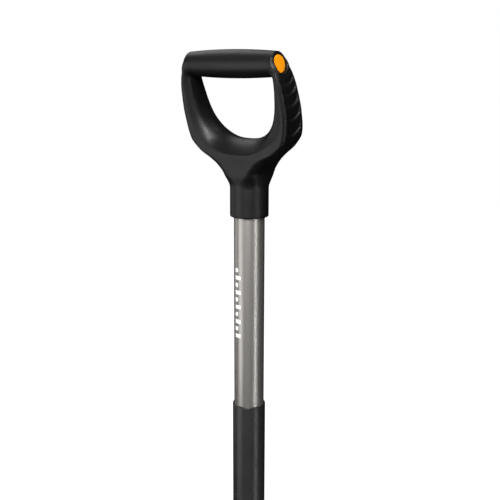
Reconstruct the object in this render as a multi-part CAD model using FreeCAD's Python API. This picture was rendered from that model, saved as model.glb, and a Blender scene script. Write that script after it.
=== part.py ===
import FreeCAD, Part
import math
import os

# Roofing shovel: a D-grip on a two-part tubular shaft, and a toothed tear-off head.
#
# Frame: +Z runs up the shaft's axis towards the grip, -Y is the front (the blade's upper face and
# the side the grip leans to), +X is to the right of someone facing the front. The origin is on the
# shaft's axis, in the middle of the bare upper tube. All lengths are millimetres.

os.makedirs("parts", exist_ok=True)
Vector = FreeCAD.Vector
UP = Vector(0, 0, 1)
RIGHT = Vector(1, 0, 0)
BACK = Vector(0, 1, 0)

# --- Driving dimensions: shaft ------------------------------------------------------------------
BARE_TUBE_LENGTH = 206.0        # upper tube between the grip's collar and the lower tube's rim
UPPER_TUBE_DIAMETER = 32.0
UPPER_TUBE_WALL = 1.6
TUBE_LAP = 80.0                 # how far the upper tube reaches into the lower one
LOWER_TUBE_WALL = 1.55
LOWER_TUBE_LENGTH = 505.0
SLIP_CLEARANCE = 0.05           # radial clearance of one tube in another

# --- Driving dimensions: grip -------------------------------------------------------------------
GRIP_WIDTH = 124.6
COLLAR_WALL = 3.95
COLLAR_BORE_DEPTH = 52.0
COLLAR_EDGE_RADIUS = 1.5
BEND_START = 35.0               # height along the grip's centre line where it starts to lean
BEND_LENGTH = 49.0
LEAN_ANGLE = 16.0               # degrees, towards the front
BAR_HEIGHT = 156.7              # along the centre line, from the collar's lower edge
BAR_RADIUS = 13.8               # the hand bar is a barrel: this is its middle
BAR_BARREL = 2.5                # how much thinner the bar is where it meets the arms
BAR_BORE_RADIUS = 6.5
SADDLE_HEIGHT = 80.0            # lowest point of the hand opening
ARM_THICKNESS = 13.3            # across the widest place
OPENING_ROUND_HEIGHT = 61.7     # height of the opening's rounded lower part
SADDLE_CROWN = 10.0             # how far the saddle falls away from mid depth to its edges
ARM_CROWN = 1.5                 # the same, where the arms meet the bar
TOP_CORNER_RADIUS = 22.0
OPENING_ROUNDNESS = 0.455       # exponent of the opening's rounded end: 0.5 is an ellipse
CROWN_RUN = 50.0                # height over which the saddle's crown fades into the arms'
OUTLINE_MARGIN = 0.8            # the outlines stand clear of the round collar by this
PLUG_RIM = 5.1                  # black margin round the plug, at the end of the bar
PLUG_THICKNESS = 2.4
PLUG_TILT = 8.0                 # degrees: the arms' outer faces lean in towards the top
PLUG_SPIGOT_LENGTH = 12.0
PLUG_FACE_INSET = 6.1           # from the grip's full half width in to the plug's face
PLUG_SINK = 0.8                 # the plug's face lies below the arm's outer face
PLUG_CLEARANCE = 0.15
RIB_COUNT = 6
RIB_FIRST_DROP = 15.0           # from the bar's axis down to the first rib groove
RIB_FIRST_PITCH = 8.5
RIB_PITCH_GROWTH = 1.12
RIB_ARC_RADIUS = 34.0
RIB_DEPTH = 0.9
RIB_WIDTH = 1.6
RIB_HALF_SPAN = 10.5            # to either side of the arm's mid depth

# The grip's outside, square to its centre line, from the collar up towards the bar: height above
# the collar's lower edge; width, from 0 at the collar to 1 at the full width of the arms; and
# depth, from 0 at the bar's radius to 1 at the collar's.
GRIP_SECTIONS = [
    (44.0, 0.031, 1.26),
    (52.0, 0.095, 1.37),
    (60.0, 0.232, 1.40),
    (68.0, 0.463, 1.27),
    (76.0, 0.700, 1.03),
    (86.0, 0.884, 0.74),
    (98.0, 0.962, 0.52),
    (114.0, 1.000, 0.31),
    (132.0, 0.981, 0.16),
    (146.0, 0.929, 0.05),
]
# How the round collar opens out into the neck: height, growth of its radius.
NECK_FLARE = [(34.0, 0.0), (44.0, 2.6), (52.0, 7.0), (60.0, 16.0), (68.0, 32.0), (76.0, 60.0)]

# --- Driving dimensions: head -------------------------------------------------------------------
BLADE_ANGLE = 25.0              # degrees between the shaft's axis and the blade
SOCKET_WALL = 2.5
SOCKET_LENGTH = 150.0           # along the shaft's axis, from the plate to the socket's rim
SHAFT_END_GAP = 48.0            # along the axis, from the plate up to the lower tube's end
PLATE_THICKNESS = 2.5
PLATE_WIDTH = 230.0
PLATE_REAR_WIDTH = 132.0
PLATE_REAR = -84.0              # along the blade, from where the shaft's axis meets it
PLATE_SHOULDER = 24.0
PLATE_FRONT = 190.0
PLATE_CORNER_RADIUS = 16.0
FLANGE_HEIGHT = 16.0
FLANGE_FRONT = 150.0
TREAD_DEPTH = 22.0
BLADE_THICKNESS = 2.5
BLADE_LAP = 44.0
BLADE_REACH = 58.0              # how far the toothed blade stands out in front of the plate
TOOTH_COUNT = 9
TOOTH_DEPTH = 15.0
TOOTH_LAND = 7.0                # flat width of each tooth's tip
BEVEL_RUN = 12.0                # the ground bevel on the blade's upper face
EDGE_THICKNESS = 0.6            # what the bevel leaves at the teeth's tips
FLANGE_SLANT = 14.0             # how much shorter the flanges are along their upper edge
BRACE_THICKNESS = 4.0
BRACE_FRONT = 104.0
BRACE_TOE = 5.0                 # height at the front end
BRACE_OVERHANG = 34.0           # how far the top end reaches behind the plate
BRACE_TOP_RISE = 14.0           # above the shaft's axis at the top end
BRACE_TOP_DROP = 8.0            # below it
BRACE_SETBACK = 3.0             # from the plate's rear edge to the brace's foot
FULCRUM_WIDTH = 56.0
FULCRUM_THICKNESS = 5.0
FULCRUM_HEIGHT = 36.0
FULCRUM_REAR = -62.0
FULCRUM_FRONT = 112.0
FULCRUM_FOOT = 24.0
FULCRUM_LEAN = 20.0             # how far each leg leans over its height
FULCRUM_BEND_RADIUS = 14.0
WELD_LEG = 4.0
WELD_SETBACK = 3.0              # from each side of the fulcrum to the weld's end

# --- Driving dimensions: fasteners --------------------------------------------------------------
BLADE_BOLT_RADIUS = 4.0
BLADE_BOLT_COUNT = 4
BLADE_BOLT_SPACING = 60.0
BLADE_BOLT_INSET = 22.0         # from the plate's front edge back to the bolts' axes
BLADE_BOLT_HEAD_RADIUS = 8.5
BLADE_BOLT_HEAD_HEIGHT = 4.0
BLADE_BOLT_LENGTH = 17.0
BLADE_NUT_FLATS = 13.0
BLADE_NUT_HEIGHT = 8.0
BLADE_WASHER_RADIUS = 8.5
BLADE_WASHER_THICKNESS = 1.6
SOCKET_BOLT_RADIUS = 3.0
SOCKET_BOLT_DROPS = [22.0, 56.0]     # below the socket's rim
SOCKET_BOLT_FLATS = 10.0
SOCKET_BOLT_HEAD_HEIGHT = 4.0
SOCKET_NUT_HEIGHT = 6.0
SOCKET_WASHER_RADIUS = 6.0
SOCKET_WASHER_THICKNESS = 1.6
SOCKET_BOLT_TIP = 1.5           # stands out past the nut
BOLT_CLEARANCE = 0.25
RIVET_RADIUS = 2.4
RIVET_HEAD_RADIUS = 4.8
RIVET_HEAD_HEIGHT = 1.6
RIVET_TAIL_RADIUS = 3.3
RIVET_TAIL_LENGTH = 3.2
RIVET_DEPTHS = [20.0, 58.0]     # below the lower tube's rim
GRIP_SCREW_RADIUS = 2.3
GRIP_SCREW_HEIGHT = 17.0        # above the collar's lower edge
GRIP_SCREW_HEAD_RADIUS = 4.4
GRIP_SCREW_HEAD_HEIGHT = 2.6
GRIP_SCREW_SEAT_RADIUS = 5.0
GRIP_SCREW_SEAT_DEPTH = 1.0
GRIP_SCREW_CROSS_WIDTH = 1.0
GRIP_SCREW_CROSS_LENGTH = 6.0
GRIP_SCREW_REACH = 2.0          # past the upper tube's inner wall

# --- Derived sizes ------------------------------------------------------------------------------
COLLAR_Z = BARE_TUBE_LENGTH / 2
LOWER_RIM_Z = -BARE_TUBE_LENGTH / 2
LOWER_END_Z = LOWER_RIM_Z - LOWER_TUBE_LENGTH
UPPER_TUBE_RADIUS = UPPER_TUBE_DIAMETER / 2
TUBE_SEAT_RADIUS = UPPER_TUBE_RADIUS + SLIP_CLEARANCE
LOWER_TUBE_RADIUS = TUBE_SEAT_RADIUS + LOWER_TUBE_WALL
COLLAR_RADIUS = TUBE_SEAT_RADIUS + COLLAR_WALL
SOCKET_BORE_RADIUS = LOWER_TUBE_RADIUS + SLIP_CLEARANCE
SOCKET_RADIUS = SOCKET_BORE_RADIUS + SOCKET_WALL
PLATE_Z = LOWER_END_Z - SHAFT_END_GAP
SOCKET_RIM_Z = PLATE_Z + SOCKET_LENGTH
BEND_RADIUS = BEND_LENGTH / math.radians(LEAN_ANGLE)
STRAIGHT_START = BEND_START + BEND_LENGTH
BAR_END_RADIUS = BAR_RADIUS - BAR_BARREL
PLUG_RADIUS = BAR_RADIUS - PLUG_RIM
PLUG_RECESS_RADIUS = PLUG_RADIUS + PLUG_CLEARANCE
PLUG_FACE_X = GRIP_WIDTH / 2 - PLUG_FACE_INSET
ARM_HALF_WIDTH_AT_BAR = PLUG_FACE_X + PLUG_SINK
OPENING_HALF_WIDTH = GRIP_WIDTH / 2 - ARM_THICKNESS
BLADE_BOLT_U = PLATE_FRONT - BLADE_BOLT_INSET


def grip_half_width(share):
    return COLLAR_RADIUS + share * (GRIP_WIDTH / 2 - COLLAR_RADIUS)


def grip_half_depth(share):
    return BAR_RADIUS + share * (COLLAR_RADIUS - BAR_RADIUS)


def centre_line(height):
    """Point on the grip's centre line, and its lean there in radians."""
    lean = min(max(height - BEND_START, 0.0), BEND_LENGTH) / BEND_RADIUS
    y = -BEND_RADIUS * (1 - math.cos(lean))
    z = min(height, BEND_START) + BEND_RADIUS * math.sin(lean)
    beyond = max(height - STRAIGHT_START, 0.0)
    y -= beyond * math.sin(lean)
    z += beyond * math.cos(lean)
    return Vector(0, y, COLLAR_Z + z), lean


def grip_point(x, depth, height):
    """A point of the grip: depth is measured square to the centre line, towards the back."""
    base, lean = centre_line(height)
    return base + Vector(x, depth * math.cos(lean), depth * math.sin(lean))


# The grip above the bend is built upright, as (x, depth, height), and put in place by this.
LEAN_ROTATION = FreeCAD.Rotation(RIGHT, LEAN_ANGLE)
LEAN_BASE = centre_line(STRAIGHT_START)[0] - LEAN_ROTATION.multVec(UP * STRAIGHT_START)
LEANED = FreeCAD.Placement(LEAN_BASE, LEAN_ROTATION)

# The head is built flat: x along the blade towards its teeth, y to the right, z out of the upper
# face. Its origin is where the shaft's axis meets the plate's upper face.
SLOPE = math.radians(BLADE_ANGLE)
BLADE_ALONG = Vector(0, -math.sin(SLOPE), -math.cos(SLOPE))
BLADE_NORMAL = Vector(0, -math.cos(SLOPE), math.sin(SLOPE))
HEAD_ROTATION = FreeCAD.Rotation(BLADE_ALONG, RIGHT, BLADE_NORMAL, "XYZ")
ON_HEAD = FreeCAD.Placement(Vector(0, 0, PLATE_Z), HEAD_ROTATION)


def placed(shape, placement):
    moved = shape.copy()
    moved.Placement = placement.multiply(moved.Placement)
    return moved


def save(name, solids):
    """Write one node: a single solid, or a compound of separate identical ones."""
    shape = solids if isinstance(solids, Part.Shape) else Part.Compound(solids)
    for solid in shape.Solids:
        if not solid.isValid() or solid.Volume <= 0:
            raise ValueError(name + " has a solid that is not sound")
    if not shape.Solids:
        raise ValueError(name + " has no solid")
    shape = shape.Solids[0] if len(shape.Solids) == 1 else Part.Compound(shape.Solids)
    shape.exportStep("parts/" + name + ".step")
    print(name, len(shape.Solids), "solid(s)", round(shape.Volume / 1000, 2), "cm3")


def cylinder(radius, length, base, direction):
    return Part.makeCylinder(radius, length, base, direction)


def tube(outer, inner, bottom, top):
    base = Vector(0, 0, bottom)
    solid = cylinder(outer, top - bottom, base, UP)
    return solid.cut(cylinder(inner, top - bottom, base, UP))


def extruded(points, direction):
    """Prism over a closed outline of straight runs."""
    return Part.Face(Part.makePolygon(points + points[:1])).extrude(direction)


def hexagon_prism(across_flats, height):
    corner = across_flats / math.sqrt(3)
    points = [
        Vector(corner * math.cos(math.radians(60 * i)), corner * math.sin(math.radians(60 * i)), 0)
        for i in range(6)
    ]
    return extruded(points, UP * height)


def dome(radius, height):
    """Round-topped head, flat side down on the origin."""
    sphere_radius = (radius * radius + height * height) / (2 * height)
    sphere = Part.makeSphere(sphere_radius, Vector(0, 0, height - sphere_radius))
    return sphere.common(cylinder(radius + 1, height, Vector(0, 0, 0), UP))


def washer(outer, inner, thickness):
    ring = cylinder(outer, thickness, Vector(0, 0, 0), UP)
    return ring.cut(cylinder(inner, thickness, Vector(0, 0, 0), UP))


def lock_nut(bolt_radius, across_flats, height):
    """Hexagon nut with a round collar on top, bored to the bolt's size."""
    collar = cylinder(across_flats * 0.43, height * 0.3, Vector(0, 0, height * 0.7), UP)
    body = hexagon_prism(across_flats, height * 0.7).fuse(collar)
    return body.cut(cylinder(bolt_radius, height, Vector(0, 0, 0), UP)).removeSplitter()


# --- Grip ---------------------------------------------------------------------------------------
def line(start, finish):
    return Part.LineSegment(start, finish).toShape()


def smooth_curve(points):
    curve = Part.BSplineCurve()
    curve.interpolate(points)
    return curve.toShape()


def grip_front_prism():
    """The grip's outline seen from the front, drawn square to the leaning plane."""
    depth = -100.0
    foot = -20.0
    margin = COLLAR_RADIUS + OUTLINE_MARGIN
    top = BAR_HEIGHT + BAR_RADIUS
    corner_x = ARM_HALF_WIDTH_AT_BAR - TOP_CORNER_RADIUS
    sweep = math.asin(BAR_RADIUS / TOP_CORNER_RADIUS)
    finish_x = corner_x + TOP_CORNER_RADIUS * math.cos(sweep)
    middle_x = corner_x + TOP_CORNER_RADIUS * math.cos(sweep / 2)
    middle_height = BAR_HEIGHT + TOP_CORNER_RADIUS * math.sin(sweep / 2)
    rows = [(margin, BEND_START - 5), (margin + 0.1, BEND_START + 2)]
    rows += [(grip_half_width(row[1]), row[0]) for row in GRIP_SECTIONS]
    rows.append((ARM_HALF_WIDTH_AT_BAR, BAR_HEIGHT))
    sides = []
    for side in (1, -1):
        points = [Vector(side * x, depth, height) for x, height in rows]
        middle = Vector(side * middle_x, depth, middle_height)
        finish = Vector(side * finish_x, depth, top)
        corner = Part.Arc(points[-1], middle, finish).toShape()
        bottom = Vector(side * margin, depth, foot)
        sides.append((bottom, line(bottom, points[0]), smooth_curve(points), corner, finish))
    right, left = sides
    edges = [line(left[0], right[0]), right[1], right[2], right[3], line(right[4], left[4])]
    edges += [left[3], left[2], left[1]]
    outline = Part.Wire(Part.__sortEdges__(edges))
    return placed(Part.Face(outline).extrude(Vector(0, -2 * depth, 0)), LEANED)


def grip_side_prism():
    """The grip's outline seen from the side, bent along its centre line."""
    x = -80.0
    margin = COLLAR_RADIUS + OUTLINE_MARGIN
    rows = [(BEND_START - 5, margin), (BEND_START + 2, margin + 0.1)]
    rows += [(row[0], grip_half_depth(row[2])) for row in GRIP_SECTIONS]
    rows.append((BAR_HEIGHT, BAR_RADIUS))
    back = [grip_point(x, half_depth, height) for height, half_depth in rows]
    front = [grip_point(x, -half_depth, height) for height, half_depth in reversed(rows)]
    crest = Part.Arc(back[-1], grip_point(x, 0, BAR_HEIGHT + BAR_RADIUS), front[0]).toShape()
    low_back = Vector(x, margin, COLLAR_Z - 20)
    low_front = Vector(x, -margin, COLLAR_Z - 20)
    edges = [line(low_front, low_back), line(low_back, back[0]), smooth_curve(back), crest]
    edges += [smooth_curve(front), line(front[-1], low_front)]
    return Part.Face(Part.Wire(edges)).extrude(Vector(-2 * x, 0, 0))


def grip_trumpet():
    """Round collar with an eased lower edge, flaring upwards: it rounds off the neck."""
    easing = COLLAR_EDGE_RADIUS
    slant = easing * math.sqrt(0.5)
    edge_start = Vector(COLLAR_RADIUS - easing, 0, COLLAR_Z)
    edge_middle = edge_start + Vector(slant, 0, easing - slant)
    edge_finish = Vector(COLLAR_RADIUS, 0, COLLAR_Z + easing)
    flare = [Vector(COLLAR_RADIUS + growth, 0, COLLAR_Z + height) for height, growth in NECK_FLARE]
    curve = Part.BSplineCurve()
    curve.interpolate(Points=flare, InitialTangent=UP, FinalTangent=Vector(1, 0, 0.25))
    outer = Vector(flare[-1].x, 0, COLLAR_Z + 200)
    inner = Vector(0, 0, COLLAR_Z + 200)
    bottom = Vector(0, 0, COLLAR_Z)
    edges = [line(bottom, edge_start), Part.Arc(edge_start, edge_middle, edge_finish).toShape()]
    edges += [line(edge_finish, flare[0]), curve.toShape(), line(flare[-1], outer)]
    edges += [line(outer, inner), line(inner, bottom)]
    return Part.Face(Part.Wire(edges)).revolve(Vector(0, 0, 0), UP, 360)


def grip_outside():
    """Collar, neck, arms and rounded top: where the three outlines agree."""
    return grip_front_prism().common(grip_side_prism()).common(grip_trumpet())


def opening_outline(depth_share):
    """Outline of the hand opening at a share of the half depth; it widens towards the faces."""
    side = []
    steps = 10
    for i in range(steps + 1):
        q = 1 - (i / steps) ** 1.6
        x = OPENING_HALF_WIDTH * (1 - q * q) ** OPENING_ROUNDNESS
        height = SADDLE_HEIGHT + OPENING_ROUND_HEIGHT * (1 - q)
        rise = min((height - SADDLE_HEIGHT) / CROWN_RUN, 1.0)
        blend = rise * rise * (3 - 2 * rise)
        crown = (SADDLE_CROWN + (ARM_CROWN - SADDLE_CROWN) * blend) * depth_share ** 2
        slope = math.atan2(q * OPENING_HALF_WIDTH, OPENING_ROUND_HEIGHT * (1 - q) * 1.3 + 1.0)
        side.append((x + crown * math.cos(slope), height - crown * math.sin(slope)))
    side[0] = (0.0, SADDLE_HEIGHT - SADDLE_CROWN * depth_share ** 2)
    side.append((side[-1][0], BAR_HEIGHT))
    return side


def opening_cutter():
    shares = [row[2] for row in GRIP_SECTIONS if row[0] > SADDLE_HEIGHT - SADDLE_CROWN]
    depth = grip_half_depth(max(shares))
    wires = []
    for share in (-1.12, -0.8, -0.4, 0.0, 0.4, 0.8, 1.12):
        side = opening_outline(share)
        ring = [(-x, height) for x, height in reversed(side[1:])] + side
        points = [Vector(x, share * depth, height) for x, height in ring]
        curve = Part.BSplineCurve()
        curve.interpolate(Points=points, Parameters=[float(i) for i in range(len(points))])
        top = Part.LineSegment(points[-1], points[0]).toShape()
        wires.append(Part.Wire([curve.toShape(), top]))
    return placed(Part.makeLoft(wires, True, False), LEANED)


def hand_bar():
    end_x = PLUG_FACE_X - 2
    start = Vector(-end_x, 0, BAR_END_RADIUS)
    finish = Vector(end_x, 0, BAR_END_RADIUS)
    crown = Part.Arc(start, Vector(0, 0, BAR_RADIUS), finish).toShape()
    left = Part.LineSegment(Vector(-end_x, 0, 0), start).toShape()
    right = Part.LineSegment(finish, Vector(end_x, 0, 0)).toShape()
    axis = Part.LineSegment(Vector(end_x, 0, 0), Vector(-end_x, 0, 0)).toShape()
    profile = Part.Face(Part.Wire([left, crown, right, axis]))
    barrel = profile.revolve(Vector(0, 0, 0), RIGHT, 360)
    barrel.translate(Vector(0, 0, BAR_HEIGHT))
    return placed(barrel, LEANED)


def plug_placement(side):
    """Axis out of the arm's outer face, at the end of the hand bar, on side +1 or -1."""
    tilt = math.radians(PLUG_TILT)
    outward = Vector(side * math.cos(tilt), 0, math.sin(tilt))
    base = Vector(side * PLUG_FACE_X, 0, BAR_HEIGHT)
    turn = FreeCAD.Rotation(UP, outward)
    return LEANED.multiply(FreeCAD.Placement(base, turn))


def plug_recess(side):
    """Seat for the plug's cap, open outwards."""
    depth = 5 * PLUG_THICKNESS
    seat = cylinder(PLUG_RECESS_RADIUS, depth, Vector(0, 0, -PLUG_THICKNESS), UP)
    return placed(seat, plug_placement(side))


def rib_grooves(side):
    """Smile-shaped grooves across one arm's outer face, wider apart towards the neck."""
    grooves = []
    drop = RIB_FIRST_DROP
    pitch = RIB_FIRST_PITCH
    for _ in range(RIB_COUNT):
        height = BAR_HEIGHT - drop
        half_width = outer_half_width(height)
        reach = 4 * RIB_WIDTH
        centre = Vector(side * (half_width - RIB_DEPTH), 0, height + RIB_ARC_RADIUS)
        along = Vector(side, 0, 0)
        ring = cylinder(RIB_ARC_RADIUS + RIB_WIDTH / 2, reach, centre, along)
        ring = ring.cut(cylinder(RIB_ARC_RADIUS - RIB_WIDTH / 2, reach, centre, along))
        window = Part.makeBox(3 * reach, 2 * RIB_HALF_SPAN, RIB_ARC_RADIUS)
        corner = Vector(centre.x - 1.5 * reach, -RIB_HALF_SPAN, height - RIB_WIDTH)
        window.translate(corner)
        grooves.append(placed(ring.common(window), LEANED))
        drop += pitch
        pitch *= RIB_PITCH_GROWTH
    return grooves


def outer_half_width(height):
    """Half width of the arms at a height, straight between the sections."""
    rows = [(row[0], grip_half_width(row[1])) for row in GRIP_SECTIONS]
    rows.append((BAR_HEIGHT, ARM_HALF_WIDTH_AT_BAR))
    for low, high in zip(rows, rows[1:]):
        if low[0] <= height <= high[0]:
            share = (height - low[0]) / (high[0] - low[0])
            return low[1] + share * (high[1] - low[1])
    return rows[-1][1]


def grip_screw_axis():
    return Vector(0, COLLAR_RADIUS, COLLAR_Z + GRIP_SCREW_HEIGHT)


def make_grip():
    body = grip_outside().cut(opening_cutter().cut(hand_bar()))
    bore = cylinder(TUBE_SEAT_RADIUS, COLLAR_BORE_DEPTH, Vector(0, 0, COLLAR_Z), UP)
    half_span = PLUG_FACE_X + 4
    bar_bore = cylinder(BAR_BORE_RADIUS, 2 * half_span, Vector(-half_span, 0, BAR_HEIGHT), RIGHT)
    seat_base = grip_screw_axis() - BACK * GRIP_SCREW_SEAT_DEPTH
    head_seat = cylinder(GRIP_SCREW_SEAT_RADIUS, COLLAR_WALL, seat_base, BACK)
    hole_base = grip_screw_axis() - BACK * (COLLAR_WALL + 2)
    screw_hole = cylinder(GRIP_SCREW_RADIUS + BOLT_CLEARANCE, 2 * COLLAR_WALL, hole_base, BACK)
    cutters = [bore, placed(bar_bore, LEANED), head_seat, screw_hole]
    for side in (-1, 1):
        cutters.append(plug_recess(side))
        cutters += rib_grooves(side)
    for cutter in cutters:
        body = body.cut(cutter)
    save("d_grip", body)


def make_plugs():
    for side, name in ((1, "grip_plug_right"), (-1, "grip_plug_left")):
        cap = cylinder(PLUG_RADIUS, PLUG_THICKNESS, Vector(0, 0, -PLUG_THICKNESS), UP)
        rim = [e for e in cap.Edges if e.Closed and abs(e.BoundBox.ZMin) < 1e-6]
        cap = cap.makeFillet(PLUG_THICKNESS / 3, rim)
        plug = placed(cap, plug_placement(side))
        inner_x = PLUG_FACE_X - PLUG_THICKNESS - PLUG_SPIGOT_LENGTH
        start = Vector(side * inner_x, 0, BAR_HEIGHT)
        length = PLUG_SPIGOT_LENGTH + PLUG_THICKNESS / 2
        spigot = cylinder(BAR_BORE_RADIUS - SLIP_CLEARANCE, length, start, Vector(side, 0, 0))
        save(name, plug.fuse(placed(spigot, LEANED)).removeSplitter())


def make_grip_screw():
    """Pan-head screw through the back of the collar, threaded into the tube's wall."""
    axis_point = grip_screw_axis() - BACK * GRIP_SCREW_SEAT_DEPTH
    turn = FreeCAD.Rotation(UP, BACK)
    head = dome(GRIP_SCREW_HEAD_RADIUS, GRIP_SCREW_HEAD_HEIGHT)
    head = placed(head, FreeCAD.Placement(axis_point, turn))
    length = axis_point.y - (UPPER_TUBE_RADIUS - UPPER_TUBE_WALL) + GRIP_SCREW_REACH
    screw = head.fuse(cylinder(GRIP_SCREW_RADIUS, length, axis_point, -BACK))
    long_side = GRIP_SCREW_CROSS_LENGTH
    short_side = GRIP_SCREW_CROSS_WIDTH
    floor = axis_point + BACK * (GRIP_SCREW_HEAD_HEIGHT * 0.7)
    for wide, high in ((long_side, short_side), (short_side, long_side)):
        corner = floor - Vector(wide / 2, 0, high / 2)
        screw = screw.cut(Part.makeBox(wide, GRIP_SCREW_HEAD_HEIGHT, high, corner))
    save("grip_screw", screw.removeSplitter())


# --- Shaft --------------------------------------------------------------------------------------
def rivet_points():
    return [Vector(0, LOWER_TUBE_RADIUS, LOWER_RIM_Z - depth) for depth in RIVET_DEPTHS]


def make_upper_shaft():
    inner = UPPER_TUBE_RADIUS - UPPER_TUBE_WALL
    pipe = tube(UPPER_TUBE_RADIUS, inner, LOWER_RIM_Z - TUBE_LAP, COLLAR_Z + COLLAR_BORE_DEPTH)
    pipe = pipe.cut(cylinder(GRIP_SCREW_RADIUS, COLLAR_RADIUS, grip_screw_axis(), Vector(0, -1, 0)))
    for point in rivet_points():
        pipe = pipe.cut(cylinder(RIVET_RADIUS, LOWER_TUBE_RADIUS, point, Vector(0, -1, 0)))
    save("upper_shaft", pipe)


def make_lower_shaft():
    pipe = tube(LOWER_TUBE_RADIUS, TUBE_SEAT_RADIUS, LOWER_END_Z, LOWER_RIM_Z)
    for point in rivet_points():
        pipe = pipe.cut(cylinder(RIVET_RADIUS, LOWER_TUBE_RADIUS, point, Vector(0, -1, 0)))
    for hole in socket_bolt_holes():
        pipe = pipe.cut(hole)
    save("lower_shaft", pipe)


def make_rivets():
    """Blind rivets that hold the two tubes together, on the shaft's back."""
    rivets = []
    turn = FreeCAD.Rotation(UP, BACK)
    grip = LOWER_TUBE_RADIUS - UPPER_TUBE_RADIUS + UPPER_TUBE_WALL
    for point in rivet_points():
        shaft_foot = Vector(0, 0, point.z - 2 * RIVET_HEAD_RADIUS)
        outside = cylinder(LOWER_TUBE_RADIUS, 4 * RIVET_HEAD_RADIUS, shaft_foot, UP)
        inside = cylinder(UPPER_TUBE_RADIUS - UPPER_TUBE_WALL, 4 * RIVET_HEAD_RADIUS, shaft_foot, UP)
        head = dome(RIVET_HEAD_RADIUS, RIVET_HEAD_HEIGHT)
        head = placed(head, FreeCAD.Placement(point, turn))
        skirt = cylinder(RIVET_HEAD_RADIUS, 1.0, point - BACK, BACK).cut(outside)
        shank = cylinder(RIVET_RADIUS, grip + 1.5, point, -BACK)
        tail_foot = point - BACK * (grip + RIVET_TAIL_LENGTH)
        tail = cylinder(RIVET_TAIL_RADIUS, RIVET_TAIL_LENGTH, tail_foot, BACK).common(inside)
        rivets.append(head.fuse(skirt).fuse(shank).fuse(tail).removeSplitter())
    save("joint_rivets", rivets)


# --- Head ---------------------------------------------------------------------------------------
def socket_bolt_heights():
    return [SOCKET_RIM_Z - drop for drop in SOCKET_BOLT_DROPS]


def socket_bolt_holes():
    """Clearance holes for the bolts that pin the shaft in the socket, from front to back."""
    span = 2 * SOCKET_RADIUS + 10
    radius = SOCKET_BOLT_RADIUS + BOLT_CLEARANCE
    return [cylinder(radius, span, Vector(0, -span / 2, z), BACK) for z in socket_bolt_heights()]


def above_plate():
    """Half space over the plate's upper face, as a large block in the head's own frame."""
    size = 600.0
    return placed(Part.makeBox(size, size, size, Vector(-size / 2, -size / 2, 0)), ON_HEAD)


def make_socket():
    reach = SOCKET_RADIUS / math.tan(SLOPE)
    pipe = tube(SOCKET_RADIUS, SOCKET_BORE_RADIUS, PLATE_Z - reach - 5, SOCKET_RIM_Z)
    pipe = pipe.common(above_plate())
    for hole in socket_bolt_holes():
        pipe = pipe.cut(hole)
    save("socket", pipe)


def make_socket_fasteners():
    """Hexagon bolts from the front, each with two washers and a lock nut at the back."""
    bolts, washers, nuts = [], [], []
    seat = SOCKET_RADIUS + SOCKET_WASHER_THICKNESS
    for z in socket_bolt_heights():
        head_place = FreeCAD.Placement(Vector(0, -seat, z), FreeCAD.Rotation(UP, -BACK))
        head = placed(hexagon_prism(SOCKET_BOLT_FLATS, SOCKET_BOLT_HEAD_HEIGHT), head_place)
        length = 2 * seat + SOCKET_NUT_HEIGHT + SOCKET_BOLT_TIP
        shank = cylinder(SOCKET_BOLT_RADIUS, length, Vector(0, -seat, z), BACK)
        bolts.append(head.fuse(shank).removeSplitter())
        for side in (-1, 1):
            outward = FreeCAD.Rotation(UP, BACK * side)
            place = FreeCAD.Placement(Vector(0, side * SOCKET_RADIUS, z), outward)
            hole_radius = SOCKET_BOLT_RADIUS + BOLT_CLEARANCE
            ring = washer(SOCKET_WASHER_RADIUS, hole_radius, SOCKET_WASHER_THICKNESS)
            washers.append(placed(ring, place))
        nut = lock_nut(SOCKET_BOLT_RADIUS, SOCKET_BOLT_FLATS, SOCKET_NUT_HEIGHT)
        nuts.append(placed(nut, FreeCAD.Placement(Vector(0, seat, z), FreeCAD.Rotation(UP, BACK))))
    save("socket_bolts", bolts)
    save("socket_washers", washers)
    save("socket_nuts", nuts)


def plate_outline():
    half_rear = PLATE_REAR_WIDTH / 2
    half = PLATE_WIDTH / 2
    right = [(PLATE_REAR, half_rear), (PLATE_SHOULDER, half), (PLATE_FRONT, half)]
    left = [(u, -v) for u, v in reversed(right)]
    return [Vector(u, v, -PLATE_THICKNESS) for u, v in right + left]


def blade_bolt_places():
    first = -(BLADE_BOLT_COUNT - 1) / 2
    return [Vector(BLADE_BOLT_U, (first + i) * BLADE_BOLT_SPACING, 0) for i in range(BLADE_BOLT_COUNT)]


def blade_bolt_holes(radius):
    depth = PLATE_THICKNESS + BLADE_THICKNESS + 2
    return [cylinder(radius, depth, place - Vector(0, 0, depth - 1), UP) for place in blade_bolt_places()]


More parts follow.
